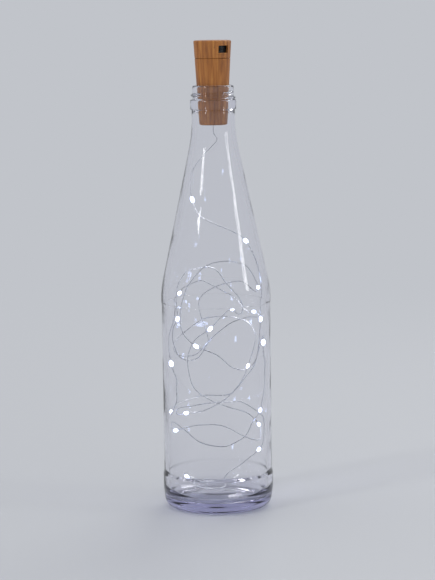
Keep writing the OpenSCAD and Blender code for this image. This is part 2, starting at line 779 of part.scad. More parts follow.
bottle();
cork_shell();
wire_gland();
cap();
battery_holder();
button_cell(2);  // button_cell_top
button_cell(1);  // button_cell_middle
button_cell(0);  // button_cell_bottom
positive_contact();
spring_contact();
circuit_board();
resistor();
solder_joints();
switch_housing();
switch_base();
switch_terminals();
switch_wiper();
switch_knob();
positive_lead();
negative_lead();
inner_lead();
wire_drop();
wire_loops();
led_drops();
led_chips();
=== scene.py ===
from math import acos, atan2, cos, pi, radians, sin, tan

import bpy
from mathutils import Matrix, Vector


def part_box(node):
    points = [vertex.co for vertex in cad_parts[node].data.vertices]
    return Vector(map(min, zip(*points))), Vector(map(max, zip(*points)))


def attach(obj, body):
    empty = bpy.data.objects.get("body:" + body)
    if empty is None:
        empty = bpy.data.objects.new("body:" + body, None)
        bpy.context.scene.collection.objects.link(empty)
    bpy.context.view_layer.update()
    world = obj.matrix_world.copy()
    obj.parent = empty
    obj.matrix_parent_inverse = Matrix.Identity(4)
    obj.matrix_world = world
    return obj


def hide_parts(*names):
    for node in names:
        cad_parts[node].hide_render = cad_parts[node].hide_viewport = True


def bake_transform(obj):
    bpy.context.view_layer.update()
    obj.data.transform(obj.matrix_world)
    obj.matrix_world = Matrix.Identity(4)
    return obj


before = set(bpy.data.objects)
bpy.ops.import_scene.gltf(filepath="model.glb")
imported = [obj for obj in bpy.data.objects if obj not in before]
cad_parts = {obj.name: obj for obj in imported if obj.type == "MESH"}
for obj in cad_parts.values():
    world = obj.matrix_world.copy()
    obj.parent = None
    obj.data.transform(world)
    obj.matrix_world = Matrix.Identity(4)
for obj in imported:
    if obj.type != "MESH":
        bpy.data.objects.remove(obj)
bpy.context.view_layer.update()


# Camera
# It stands 1.4 m away and 0.3 m up, looks a little down at the bottle and leans by less than a degree.
camera_x = 0.0011
camera_distance = 1.4
camera_height = 0.3216
aim_height = 0.1345
lean = radians(-0.8)
lens_mm = 142.8
sensor_mm = 36
camera_data = bpy.data.cameras.new("camera")
camera_data.lens = lens_mm
camera_data.sensor_width = sensor_mm
camera_data.dof.use_dof = False
camera = bpy.data.objects.new("camera", camera_data)
camera.location = (camera_x, -camera_distance, camera_height)
looking = (Vector((camera_x, 0, aim_height)) - camera.location).to_track_quat("-Z", "Y")
camera.rotation_euler = (looking @ Matrix.Rotation(lean, 3, "Z").to_quaternion()).to_euler()
bpy.context.scene.collection.objects.link(camera)
bpy.context.scene.camera = camera


# The light string's wire
# Two silver-plated copper wires in clear varnish, twisted together and left as they fell into the
# bottle. The route runs from the stopper's gland to the last light, and is the one that the solids follow.
wire_route = [
    (0, 0, 236), (0, 0, 231), (2, -1, 227), (-1, -2, 223), (-6, -3, 218), (-12, -3, 210),
    (-14, -4, 203), (-14, -6, 196), (-13, -7, 191), (-9, -13, 182), (0, -18, 177),
    (11, -18, 172), (18, -13, 166), (23, -9, 156),
    (27, -2, 144), (29, 5, 131), (28, 8, 125), (28, 6, 115), (26, -5, 104), (23, -15, 93),
    (17, -23, 89), (9, -27, 91), (0, -29, 99), (-12, -26, 104), (-20, -20, 112),
    (-21, -18, 124), (-18, -20, 136), (-15, -21, 142), (-6, -24, 152), (6, -24, 155),
    (17, -19, 152), (21, -16, 147), (24, -9, 141), (26, -2, 136), (26, 6, 133),
    (24, 13, 132), (18, 22, 136), (12, 26, 136), (1, 28, 133), (-10, 26, 126),
    (-10, 26, 116), (-6, 28, 103), (-6, 28, 97), (-13, 25, 88), (-23, 17, 90),
    (-27, 4, 101), (-26, -9, 112), (-23, -14, 119), (-23, -17, 125), (-23, -16, 137),
    (-18, -16, 147), (-8, -20, 151), (0, -23, 150), (6, -25, 142), (12, -23, 135),
    (15, -21, 130), (16, -15, 125), (15, -8, 121), (13, -1, 120), (10, 6, 122),
    (7, 12, 120), (4, 17, 116), (-4, 22, 107), (-13, 21, 101), (-18, 19, 92),
    (-18, 19, 81), (-14, 22, 69), (-4, 26, 61), (8, 28, 56), (19, 20, 54),
    (26, 8, 49), (26, -6, 44), (24, -12, 43), (17, -23, 47), (6, -28, 54),
    (0, -29, 56), (-7, -28, 56), (-14, -25, 55), (-25, -13, 50), (-28, -6, 50),
    (-29, 2, 51), (-28, 8, 51), (-22, 20, 44), (-11, 27, 34), (4, 28, 31),
    (14, 24, 36), (19, 15, 42), (22, 9, 50), (27, 7, 58), (29, 0, 72),
    (29, -6, 89), (28, -8, 96), (28, -8, 103), (29, -1, 106), (29, 6, 104),
    (26, 13, 92), (24, 18, 84), (19, 22, 77), (11, 26, 67), (5, 28, 64),
    (-8, 28, 64), (-14, 25, 63), (-25, 14, 62), (-29, 0, 59), (-28, -8, 59),
    (-26, -12, 63), (-24, -15, 69), (-24, -16, 76), (-24, -15, 82), (-27, -11, 91),
    (-29, -4, 105), (-26, -7, 116), (-25, -6, 121), (-25, -1, 125), (-26, 6, 128),
    (-23, 12, 131), (-20, 17, 134), (-11, 24, 137), (-6, 25, 136), (3, 25, 131),
    (12, 24, 126), (20, 17, 119), (24, 12, 119), (27, 4, 118), (26, -4, 118),
    (24, -12, 119), (19, -18, 120), (9, -26, 118), (-1, -29, 111), (-5, -25, 106),
    (-13, -21, 98), (-23, -14, 97), (-26, -2, 102), (-21, 14, 106), (-10, 23, 112),
    (-3, 25, 114), (10, 25, 114), (21, 18, 111), (25, 13, 105), (24, 13, 98),
    (20, 17, 84), (15, 22, 73), (5, 25, 62), (-9, 24, 55), (-20, 17, 55),
    (-25, 6, 56), (-25, -6, 61), (-22, -13, 64), (-14, -23, 67), (-8, -28, 69),
    (0, -29, 70), (8, -28, 70), (15, -25, 69), (25, -13, 60), (28, -6, 54),
    (29, 4, 40), (26, 9, 33), (18, 18, 24), (8, 21, 17), (4, 18, 13),
    (4, 11, 9), (-2, 1, 10), (-12, -7, 13), (-19, -10, 20), (-21, -9, 23),
]
wire_steps = 14
strand_d = 0.00036
strand_twist = 0.006
strand_sides = 6
strand_out = strand_d / 2 - 0.00001  # the two strands press into each other a little


def smooth_route(points, steps):
    """Points in metres on one smooth curve through the route's points in millimetres."""
    p = [Vector(q) / 1000 for q in points]
    p = [2 * p[0] - p[1]] + p + [2 * p[-1] - p[-2]]
    curve = []
    for a, b, c, d in zip(p, p[1:], p[2:], p[3:]):
        for k in range(steps):
            t = k / steps
            curve.append((2 * b + (c - a) * t + (2 * a - 5 * b + 4 * c - d) * t**2
                          + (3 * b - a - 3 * c + d) * t**3) / 2)
    return curve + [p[-2]]


def strand(path, diameter, sides, offset=0, twist=1, start=0):
    """A round strand beside the path: it goes once round it in each length of twist."""
    verts, faces = [], []
    side = Vector((1, 0, 0))
    run = 0
    for i, p in enumerate(path):
        ahead = (path[min(i + 1, len(path) - 1)] - path[max(i - 1, 0)]).normalized()
        side = (side - side.dot(ahead) * ahead).normalized()
        up = ahead.cross(side)
        run += (p - path[max(i - 1, 0)]).length
        turn = start + 2 * pi * run / twist
        centre = p + offset * (cos(turn) * side + sin(turn) * up)
        for k in range(sides):
            a = 2 * pi * k / sides
            verts.append(centre + diameter / 2 * (cos(a) * side + sin(a) * up))
    for i in range(len(path) - 1):
        for k in range(sides):
            a, b = sides * i + k, sides * i + (k + 1) % sides
            faces.append((a, b, b + sides, a + sides))
    last = sides * (len(path) - 1)
    faces.append(tuple(range(sides - 1, -1, -1)))
    faces.append(tuple(last + k for k in range(sides)))
    return verts, faces


def add_piece(name, parts, body=None, crease=40):
    """A smooth-shaded object from one or more lists of corners and faces."""
    verts, faces = [], []
    for more_verts, more_faces in parts:
        first = len(verts)
        verts += more_verts
        faces += [tuple(first + k for k in face) for face in more_faces]
    mesh = bpy.data.meshes.new(name)
    mesh.from_pydata(verts, [], faces)
    mesh.polygons.foreach_set("use_smooth", [True] * len(faces))
    mesh.set_sharp_from_angle(angle=radians(crease))
    piece = bpy.data.objects.new(name, mesh)
    bpy.context.scene.collection.objects.link(piece)
    if body:
        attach(piece, body)
    return piece


wire_path = smooth_route(wire_route, wire_steps)
string_wire = add_piece("string_wire", [
    strand(wire_path, strand_d, strand_sides, strand_out, strand_twist, start) for start in (0, pi)])
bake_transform(string_wire)
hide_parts("wire_drop", "wire_loops")


def linear(code):
    """An sRGB hex colour as linear red, green, blue and alpha."""
    parts = [int(code[i:i + 2], 16) / 255 for i in (1, 3, 5)]
    return tuple(c / 12.92 if c <= 0.04045 else ((c + 0.055) / 1.055) ** 2.4 for c in parts) + (1,)


def new_material(name, *pieces):
    """An empty material on the pieces, in place of what they had. Returns its node tree."""
    material = bpy.data.materials.new(name)
    material.use_nodes = True
    material.node_tree.nodes.clear()
    for piece in pieces:
        piece.data.materials.clear()
        piece.data.materials.append(material)
    return material.node_tree


def add_node(tree, kind, inputs=None, **settings):
    """Adds a node with its settings. An input takes a value or another node's output."""
    made = tree.nodes.new(kind)
    for name, value in settings.items():
        setattr(made, name, value)
    for name, value in (inputs or {}).items():
        if isinstance(value, bpy.types.NodeSocket):
            tree.links.new(value, made.inputs[name])
        else:
            made.inputs[name].default_value = value
    return made


# Silver-plated copper under clear varnish: bright metal, with slow changes of tone from bends and
# fingerprints, about 12 mm apart.
tarnish_size = 0.012
tree = new_material("silver plated wire in clear varnish", string_wire)
place = add_node(tree, "ShaderNodeTexCoord")
tarnish = add_node(tree, "ShaderNodeTexNoise", {
    "Vector": place.outputs["Object"], "Scale": 1 / tarnish_size, "Detail": 2})
tone = add_node(tree, "ShaderNodeMix", {
    "Factor": tarnish.outputs["Fac"], "A": linear("#C9CCD2"), "B": linear("#EDEFF2")}, data_type="RGBA")
gloss = add_node(tree, "ShaderNodeMapRange", {
    "Value": tarnish.outputs["Fac"], "To Min": 0.2, "To Max": 0.38})
shader = add_node(tree, "ShaderNodeBsdfPrincipled", {
    "Base Color": tone.outputs["Result"], "Metallic": 1, "Roughness": gloss.outputs["Result"],
    "Coat Weight": 0.4, "Coat Roughness": 0.1})
add_node(tree, "ShaderNodeOutputMaterial", {"Surface": shader.outputs["BSDF"]})


# The lights
# Each is a chip soldered across the two wires and sealed in a drop of clear resin that glows cool
# white. The drops are dipped by hand, so each is a little different in length and thickness.
light_at = [8, 12, 17, 23, 33, 47, 59, 62, 70, 78, 88, 92, 103, 109, 115, 122, 140, 144, 156, 163]
drop_l = 0.004
drop_d = 0.0024
most_shorter, most_thinner = 0.1, 0.08
length_phase, width_phase = 1.7, 2.9
drop_turn = 2.4  # radians from one drop's fuller side to the next one's
drop_rows, drop_sides = 12, 16
drop_blunt = 0.85
drop_round, drop_fuller = 0.93, 0.07


def resin_drop(number):
    """A drop round the wire at one of the lights: fuller on the side where the chip sits."""
    i = light_at[number] * wire_steps
    p = wire_path[i]
    ahead = (wire_path[i + 1] - wire_path[i - 1]).normalized()
    side = ahead.orthogonal().normalized()
    side.rotate(Matrix.Rotation(number * drop_turn, 3, ahead))
    up = ahead.cross(side)
    length = drop_l * (1 - most_shorter * abs(sin(number * length_phase)))
    width = drop_d * (1 - most_thinner * abs(sin(number * width_phase)))
    verts, faces = [p - ahead * length / 2], []
    for row in range(1, drop_rows):
        t = pi * row / drop_rows
        for k in range(drop_sides):
            a = 2 * pi * k / drop_sides
            r = width / 2 * sin(t) ** drop_blunt * (drop_round + drop_fuller * cos(a))
            verts.append(p - ahead * (length / 2 * cos(t)) + r * (cos(a) * side + sin(a) * up))
    verts.append(p + ahead * length / 2)
    last = len(verts) - 1
    for k in range(drop_sides):
        b = (k + 1) % drop_sides
        faces.append((0, 1 + b, 1 + k))
        faces.append((last, last - drop_sides + k, last - drop_sides + b))
        for row in range(drop_rows - 2):
            c = 1 + drop_sides * row
            faces.append((c + k, c + b, c + drop_sides + b, c + drop_sides + k))
    return verts, faces


resin_drops = add_piece(
    "resin_drops", [resin_drop(n) for n in range(len(light_at))], "bottle", crease=80)
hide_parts("led_drops")
light_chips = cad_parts["led_chips"]

# Clear epoxy resin, lit from inside: a smooth glossy skin over an even cool white glow.
glow_cloud = 0.0015
tree = new_material("clear epoxy resin lit cool white", resin_drops)
place = add_node(tree, "ShaderNodeTexCoord")
cloud = add_node(tree, "ShaderNodeTexNoise", {
    "Vector": place.outputs["Object"], "Scale": 1 / glow_cloud, "Detail": 1})
tone = add_node(tree, "ShaderNodeMix", {
    "Factor": cloud.outputs["Fac"], "A": linear("#DDE9FF"), "B": linear("#FFFFFF")}, data_type="RGBA")
shader = add_node(tree, "ShaderNodeBsdfPrincipled", {
    "Base Color": tone.outputs["Result"], "Roughness": 0.08, "IOR": 1.5,
    "Emission Color": linear("#C2D2FF"), "Emission Strength": 7})
add_node(tree, "ShaderNodeOutputMaterial", {"Surface": shader.outputs["BSDF"]})

# A light chip's yellow phosphor over its die: chalky, with a grain of 0.3 mm.
phosphor_grain = 0.0003
tree = new_material("phosphor of a light chip", light_chips)
place = add_node(tree, "ShaderNodeTexCoord")
grain = add_node(tree, "ShaderNodeTexNoise", {
    "Vector": place.outputs["Object"], "Scale": 1 / phosphor_grain})
tone = add_node(tree, "ShaderNodeMix", {
    "Factor": grain.outputs["Fac"], "A": linear("#E8D25A"), "B": linear("#F7E98C")}, data_type="RGBA")
shader = add_node(tree, "ShaderNodeBsdfPrincipled", {
    "Base Color": tone.outputs["Result"], "Roughness": 0.5,
    "Emission Color": linear("#FFF6D8"), "Emission Strength": 1})
add_node(tree, "ShaderNodeOutputMaterial", {"Surface": shader.outputs["BSDF"]})


# The bottle
# Clear soda-lime glass, blown in a mould: its wall is 2.6 mm thick, and more in the base and the bead.
# The neck has a screw thread, the foot is knurled, and the mould leaves a faint line down each side.
glass_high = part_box("bottle")[1]
lip_z = glass_high[2]
lip_round = 0.0012
heel_r = glass_high[1]
heel_z = 0.0125
panel_r = heel_r - 0.0006
band_r = panel_r + 0.0003
wall = 0.0026
neck_r = 0.0132
mouth_r = 0.010
finish_r = mouth_r + wall
bead_r = 0.014
bead_low_z = lip_z - 0.0145
bead_high_z = bead_low_z + 0.0058
shoulder_low_z = 0.1353
shoulder_high_z = lip_z - 0.0296
shoulder_bend, throat_bend = 0.060, 0.090
panel_low_z = 0.0225
panel_high_z = 0.1272
foot_r = heel_r - 0.0075
foot_w = 0.0025
punt_r = 0.016
punt_h = 0.0042
floor_z = punt_h + 0.0052
# Each corner is a radius, a height and the radius that rounds it, up the outside and down the inside.
bottle_outline = [
    (0, punt_h, 0), (punt_r, punt_h - 0.0006, 0.020), (foot_r - foot_w, 0, 0.0008),
    (heel_r - 0.0015, 0, 0.0066), (heel_r, heel_z, 0.030),
    (heel_r, panel_low_z - 0.0015, 0.003), (panel_r, panel_low_z + 0.0005, 0.003),
    (panel_r, panel_high_z, 0.0005), (band_r, panel_high_z + 0.0006, 0.0005),
    (band_r, shoulder_low_z, shoulder_bend), (neck_r, shoulder_high_z, throat_bend),
    (neck_r, bead_low_z, 0.0007), (bead_r, bead_low_z, 0.0004), (bead_r, bead_high_z, 0.0007),
    (finish_r, bead_high_z, 0.0005), (finish_r, lip_z, lip_round), (mouth_r, lip_z, 0.0007),
    (mouth_r, lip_z - 0.013, 0.002), (neck_r - wall, lip_z - 0.017, 0.002),
    (neck_r - wall, shoulder_high_z, throat_bend - wall),
    (band_r - wall, shoulder_low_z, shoulder_bend - wall),
    (panel_r - wall, panel_high_z - 0.012, 0.030),
    (panel_r - wall, floor_z - 0.0034, 0.008), (0, floor_z, 0),
]
thread_rise = 0.00105
thread_half_w = 0.0009
thread_flank = 0.6  # the share of its half width that slopes
thread_pitch = 0.003175
thread_turns = 1.5
thread_tapers = 12  # each end rises within a twelfth of a turn
thread_top_z = lip_z - 0.0045
seam_turn = radians(-78.75)
seam_rise = 0.000015
seam_low_z = 0.006
seam_spread = 0.001
knurl_count = 80
knurl_depth = 0.0004
knurl_fade = 0.0009
knurl_high_z = 0.0012
knurl_in_r, knurl_out_r = foot_r - 0.0022, foot_r + 0.0032
near = 0.0001  # a point this close to a wall counts as on it
finish_step, foot_step, plain_step = 0.0003, 0.0007, 0.006
thread_zone_low_z, thread_zone_high_z = bead_high_z + 0.0004, lip_z - 0.001
foot_zone_z, foot_zone_in_r = 0.001, knurl_in_r - 0.0005


def rounded(rows, step=0.0008):
    """An outline of radius and height, with each corner rounded by its own radius."""
    wide_bend, wide_count, least_count = 0.01, 12, 4
    points = []
    for i, (r, z, bend) in enumerate(rows):
        corner = Vector((r, z))
        if bend == 0:
            points.append(corner)
            continue
        back = (Vector(rows[i - 1][:2]) - corner).normalized()
        on = (Vector(rows[i + 1][:2]) - corner).normalized()
        half = acos(max(-1, min(1, back.dot(on)))) / 2
        centre = corner + (back + on).normalized() * bend / sin(half)
        first = corner + back * bend / tan(half) - centre
        last = corner + on * bend / tan(half) - centre
        turn = atan2(first.x * last.y - first.y * last.x, first.dot(last))
        count = max(least_count, int(abs(turn) * bend / step)) if bend < wide_bend else wide_count
        for k in range(count + 1):
            a = turn * k / count
            across, up = first.x * cos(a) - first.y * sin(a), first.x * sin(a) + first.y * cos(a)
            points.append(centre + Vector((across, up)))
    return points


def closer(points, reach):
    """The same outline with more points, none further apart than reach(point) says."""
    round_up = 0.999
    dense = [points[0]]
    for a, b in zip(points, points[1:]):
        count = max(1, int((b - a).length / reach((a + b) / 2) + round_up))
        dense += [a.lerp(b, k / count) for k in range(1, count + 1)]
    return dense


def turned(points, angles, relief=None):
    """A turned form from an outline that starts and ends on the axis.

    relief(angle, point) adds to the radius and height of each point.
    """
    verts, faces = [], []
    n = len(angles)
    for p in points[1:-1]:
        for a in angles:
            q = p + relief(a, p) if relief else p
            verts.append(Vector((q.x * cos(a), q.x * sin(a), q.y)))
    verts += [Vector((0, 0, points[0].y)), Vector((0, 0, points[-1].y))]
    first, last = len(verts) - 2, len(verts) - 1
    top = n * (len(points) - 3)
    for k in range(n):
        b = (k + 1) % n
        faces.append((first, b, k))
        faces.append((last, top + k, top + b))
        for row in range(len(points) - 3):
            c = n * row
            faces.append((c + k, c + b, c + n + b, c + n + k))
    return verts, faces


def mould_relief(angle, p):
    """What the mould adds to the turned form: the screw thread, the foot's knurls and a seam each side."""
    if p.x > finish_r - 2 * near and bead_high_z < p.y < lip_z - lip_round:
        out = 0
        for turns in (0, 1):
            down = (-angle % (2 * pi)) / (2 * pi) + turns
            off = abs(p.y - (thread_top_z - thread_pitch * down)) / thread_half_w
            end = min(1, min(down, thread_turns - down) * thread_tapers)
            if off < 1 and end > 0:
                out = max(out, thread_rise * end * min(1, (1 - off) / thread_flank))
        return Vector((out, 0))
    if p.y < knurl_high_z and knurl_in_r < p.x < knurl_out_r:
        end = min(1, min(p.x - knurl_in_r, knurl_out_r - p.x) / knurl_fade)
        return Vector((0, knurl_depth * end * (1 - cos(knurl_count * angle)) / 2))
    if p.x > neck_r - near and p.y > seam_low_z and abs(sin(angle - seam_turn)) < seam_spread:
        return Vector((seam_rise, 0))
    return Vector((0, 0))


def mesh_step(p):
    """How far apart the outline's points are: close at the thread and the foot, wide on plain walls."""
    if finish_r - near < p.x < bead_r and thread_zone_low_z < p.y < thread_zone_high_z:
        return finish_step
    return foot_step if p.y < foot_zone_z and p.x > foot_zone_in_r else plain_step


glass_sides = 4 * knurl_count
glass_angles = [2 * pi * k / glass_sides for k in range(glass_sides)]
glass_points = closer(rounded(bottle_outline), mesh_step)
glass_form = turned(glass_points, glass_angles, mould_relief)
glass_bottle = add_piece("glass_bottle", [glass_form], "bottle", crease=60)
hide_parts("bottle")

# Soda-lime glass: clear, with a faint violet-grey tint that shows where it is thick, and the slow
# ripple that a blow mould leaves.
ripple_size = 0.022
tree = new_material("mould blown soda lime glass", glass_bottle)
place = add_node(tree, "ShaderNodeTexCoord")
ripple = add_node(tree, "ShaderNodeTexNoise", {
    "Vector": place.outputs["Object"], "Scale": 1 / ripple_size, "Detail": 1, "Roughness": 0.4})
relief = add_node(tree, "ShaderNodeBump", {
    "Height": ripple.outputs["Fac"], "Strength": 0.35, "Distance": 0.0012})
shader = add_node(tree, "ShaderNodeBsdfPrincipled", {
    "Base Color": linear("#FFFFFF"), "Roughness": 0, "IOR": 1.52, "Transmission Weight": 1,
    "Normal": relief.outputs["Normal"]})
edge_on = add_node(tree, "ShaderNodeLayerWeight", {"Blend": 0.35})
passed = add_node(tree, "ShaderNodeMix", {
    "Factor": edge_on.outputs["Facing"], "A": linear("#F6F6FA"), "B": linear("#8A8B9C")},
    data_type="RGBA")
open_to_lamps = add_node(tree, "ShaderNodeBsdfTransparent", {"Color": passed.outputs["Result"]})
path = add_node(tree, "ShaderNodeLightPath")
glass = add_node(tree, "ShaderNodeMixShader", {
    0: path.outputs["Is Shadow Ray"], 1: shader.outputs["BSDF"], 2: open_to_lamps.outputs["BSDF"]})
tint = add_node(tree, "ShaderNodeVolumeAbsorption", {"Color": linear("#C9C8E6"), "Density": 32})
add_node(tree, "ShaderNodeOutputMaterial", {
    "Surface": glass.outputs["Shader"], "Volume": tint.outputs["Volume"]})


# The stopper
# Two pieces of moulded polypropylene that imitate cork: a shell that sits in the mouth and a cap on it.
# The pattern is in the plastic: soft upright streaks of tan and brown, with short dark flecks.
cork_pieces = [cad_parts["cork_shell"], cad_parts["cap"]]
streak_w, streak_l = 0.0007, 0.014
fleck_w, fleck_l = 0.0005, 0.002
skin_grain = 0.0005
tree = new_material("cork coloured moulded plastic", *cork_pieces)
place = add_node(tree, "ShaderNodeTexCoord")
stretch = add_node(tree, "ShaderNodeMapping", {
    "Vector": place.outputs["Object"], "Scale": (1 / streak_w, 1 / streak_w, 1 / streak_l)})
streaks = add_node(tree, "ShaderNodeTexNoise", {
    "Vector": stretch.outputs["Vector"], "Scale": 0.5, "Detail": 4})
streak_tone = add_node(tree, "ShaderNodeValToRGB", {"Fac": streaks.outputs["Fac"]})
dark, pale = streak_tone.color_ramp.elements
dark.position = 0.26
dark.color = linear("#7E4A20")
pale.position = 0.76
pale.color = linear("#C08340")
middle = streak_tone.color_ramp.elements.new(0.5)
middle.color = linear("#A3652B")
small = add_node(tree, "ShaderNodeMapping", {
    "Vector": place.outputs["Object"], "Scale": (1 / fleck_w, 1 / fleck_w, 1 / fleck_l)})
flecks = add_node(tree, "ShaderNodeTexNoise", {
    "Vector": small.outputs["Vector"], "Scale": 0.6, "Detail": 2})
fleck_mask = add_node(tree, "ShaderNodeMapRange", {
    "Value": flecks.outputs["Fac"], "From Min": 0.65, "From Max": 0.76, "To Max": 0.6})
tone = add_node(tree, "ShaderNodeMix", {
    "Factor": fleck_mask.outputs["Result"], "A": streak_tone.outputs["Color"], "B": linear("#56351A")},
    data_type="RGBA")
skin = add_node(tree, "ShaderNodeTexNoise", {
    "Vector": place.outputs["Object"], "Scale": 1 / skin_grain, "Detail": 2})
gloss = add_node(tree, "ShaderNodeMapRange", {
    "Value": skin.outputs["Fac"], "To Min": 0.42, "To Max": 0.6})
relief = add_node(tree, "ShaderNodeBump", {
    "Height": streaks.outputs["Fac"], "Strength": 0.3, "Distance": 0.0002})
shader = add_node(tree, "ShaderNodeBsdfPrincipled", {
    "Base Color": tone.outputs["Result"], "Roughness": gloss.outputs["Result"], "IOR": 1.49,
    "Normal": relief.outputs["Normal"]})
add_node(tree, "ShaderNodeOutputMaterial", {"Surface": shader.outputs["BSDF"]})


# The gland
# A plug of cream hot-melt resin that seals the wire into the shell's bottom, with a collar inside.
# It is poured and sets soft and waxy, so its skin is smooth with a few faint clouds.
cloud_size = 0.0015
tree = new_material("cream hot melt resin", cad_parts["wire_gland"])
place = add_node(tree, "ShaderNodeTexCoord")
cloud = add_node(tree, "ShaderNodeTexNoise", {
    "Vector": place.outputs["Object"], "Scale": 1 / cloud_size, "Detail": 2})
tone = add_node(tree, "ShaderNodeMix", {
    "Factor": cloud.outputs["Fac"], "A": linear("#CFC7B4"), "B": linear("#E2DCCB")}, data_type="RGBA")
relief = add_node(tree, "ShaderNodeBump", {
    "Height": cloud.outputs["Fac"], "Strength": 0.4, "Distance": 0.0001})
shader = add_node(tree, "ShaderNodeBsdfPrincipled", {
    "Base Color": tone.outputs["Result"], "Roughness": 0.38, "IOR": 1.48,
    "Normal": relief.outputs["Normal"]})
add_node(tree, "ShaderNodeOutputMaterial", {"Surface": shader.outputs["BSDF"]})


# The wire inside the stopper
# The same twin wire goes on up through the gland. A slack coil in the shell pays out when the upper
# part is lifted for new cells. Then the wire goes up a groove of the holder and through the board.
stopper_z = 0.236
stopper_turn = radians(37)
inner_route = [
    (0, 0, 0.1), (0, 0, 4.2), (-2, 0.6, 5.38), (-1.6, 4, 6.36), (3.4, 4.4, 7.43), (6, -1, 8.41),
    (3, -6, 9.39), (-3, -6, 10.37), (-6.4, -2, 11.35), (-6, 3, 12.43), (-3.2, 6, 14), (-3, 6.3, 17),
    (-3, 6.3, 22.25), (-3, 6.3, 27.5), (-3, 6.3, 32.75), (-3, 6.3, 38), (-3, 6.1, 39.4),
    (-3, 4.5, 40.2), (-3, 1.5, 40.4), (-3, -1.95, 40.2), (-3, -3.95, 40.1), (-3, -4.85, 40.1),
]
inner_steps = 8


def in_stopper(points):
    """Points of the stopper's own frame, where the switch faces -Y and heights start at its bottom."""
    across, aside = cos(stopper_turn), sin(stopper_turn)
    return [(x * across - y * aside, x * aside + y * across, 1000 * stopper_z + h) for x, y, h in points]


inner_path = smooth_route(in_stopper(inner_route), inner_steps)
inner_wire = add_piece("inner_wire", [
    strand(inner_path, strand_d, strand_sides, strand_out, strand_twist, start) for start in (0, pi)])
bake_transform(inner_wire)
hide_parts("inner_lead")
inner_wire.data.materials.append(string_wire.data.materials[0])


# The cell holder
# Injection-moulded black ABS: a half tube between two round ends, with a groove each side for wires.
# The tool was spark-eroded, which leaves a fine even grain of about 0.3 mm all over.
holder_grain, holder_wear = 0.0003, 0.006
tree = new_material("spark grained black ABS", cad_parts["battery_holder"])
place = add_node(tree, "ShaderNodeTexCoord")
grain = add_node(tree, "ShaderNodeTexNoise", {
    "Vector": place.outputs["Object"], "Scale": 1 / holder_grain})
worn = add_node(tree, "ShaderNodeTexNoise", {
    "Vector": place.outputs["Object"], "Scale": 1 / holder_wear, "Detail": 3})
tone = add_node(tree, "ShaderNodeMix", {
    "Factor": worn.outputs["Fac"], "A": linear("#222224"), "B": linear("#333336")}, data_type="RGBA")
gloss = add_node(tree, "ShaderNodeMapRange", {
    "Value": grain.outputs["Fac"], "To Min": 0.38, "To Max": 0.58})
relief = add_node(tree, "ShaderNodeBump", {
    "Height": grain.outputs["Fac"], "Strength": 0.5, "Distance": 0.00004})
shader = add_node(tree, "ShaderNodeBsdfPrincipled", {
    "Base Color": tone.outputs["Result"], "Roughness": gloss.outputs["Result"], "IOR": 1.53,
    "Normal": relief.outputs["Normal"]})
add_node(tree, "ShaderNodeOutputMaterial", {"Surface": shader.outputs["BSDF"]})


# The three button cells
# Each is a deep-drawn steel can that is crimped over a nylon gasket, round a smaller cap that faces
# down. They are stacked in the holder with nothing between them.
cell_nodes = ("button_cell_bottom", "button_cell_middle", "button_cell_top")
cell_r, cell_h = 0.0058, 0.0054
cell_cap_r = cell_r - 0.0011
crimp_r = cell_r - 0.0008
can_low_z = 0.0006
cap_high_z = 0.0008
gasket_low_z, gasket_high_z = 0.0004, 0.0009
cell_sides = 96
cell_bend_step = 0.00008
cap_outline = [(0, 0, 0), (cell_cap_r, 0, 0.0002), (cell_cap_r, cap_high_z, 0), (0, cap_high_z, 0)]
gasket_outline = [
    (0, gasket_low_z, 0), (crimp_r, gasket_low_z, 0.0001),
    (crimp_r, gasket_high_z, 0), (0, gasket_high_z, 0)]
can_outline = [
    (0, can_low_z, 0), (crimp_r, can_low_z, 0.0001), (cell_r, can_low_z, 0.0006),
    (cell_r, cell_h, 0.00035), (0, cell_h, 0)]
cell_angles = [2 * pi * k / cell_sides for k in range(cell_sides)]
cells, gasket_parts = [], []
for node in cell_nodes:
    cell_low = Vector((0, 0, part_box(node)[0][2]))
    can, cap, gasket = [([v + cell_low for v in verts], faces) for verts, faces in (
        turned(rounded(outline, cell_bend_step), cell_angles)
        for outline in (can_outline, cap_outline, gasket_outline))]
    gasket_parts.append(gasket)
    cell = add_piece(node.replace("button_cell", "cell_can"), [can, cap], "insert", crease=50)
    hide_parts(node)
    cells.append(cell)
cell_gaskets = add_piece("cell_gaskets", gasket_parts, "insert", crease=50)

# Nickel-plated steel: bright, with the fine circular lines that the drawing leaves, 0.12 mm apart.
turning_pitch = 0.00012
handling_size = 0.003
tree = new_material("nickel plated steel", *cells)
place = add_node(tree, "ShaderNodeTexCoord")
axes = add_node(tree, "ShaderNodeSeparateXYZ", {"Vector": place.outputs["Object"]})
radius = add_node(tree, "ShaderNodeVectorMath", {
    0: place.outputs["Object"], 1: (1, 1, 0)}, operation="MULTIPLY")
reach = add_node(tree, "ShaderNodeVectorMath", {0: radius.outputs["Vector"]}, operation="LENGTH")
rings = add_node(tree, "ShaderNodeMath", {
    0: reach.outputs["Value"], 1: axes.outputs["Z"]}, operation="ADD")
lines = add_node(tree, "ShaderNodeTexNoise", {"W": rings.outputs[0], "Scale": 1 / turning_pitch},
                 noise_dimensions="1D")
handled = add_node(tree, "ShaderNodeTexNoise", {
    "Vector": place.outputs["Object"], "Scale": 1 / handling_size, "Detail": 3})
tone = add_node(tree, "ShaderNodeMix", {
    "Factor": handled.outputs["Fac"], "A": linear("#BDBBB6"), "B": linear("#D9D7D2")}, data_type="RGBA")
gloss = add_node(tree, "ShaderNodeMapRange", {
    "Value": lines.outputs["Fac"], "To Min": 0.18, "To Max": 0.36})
shader = add_node(tree, "ShaderNodeBsdfPrincipled", {
    "Base Color": tone.outputs["Result"], "Metallic": 1, "Roughness": gloss.outputs["Result"]})
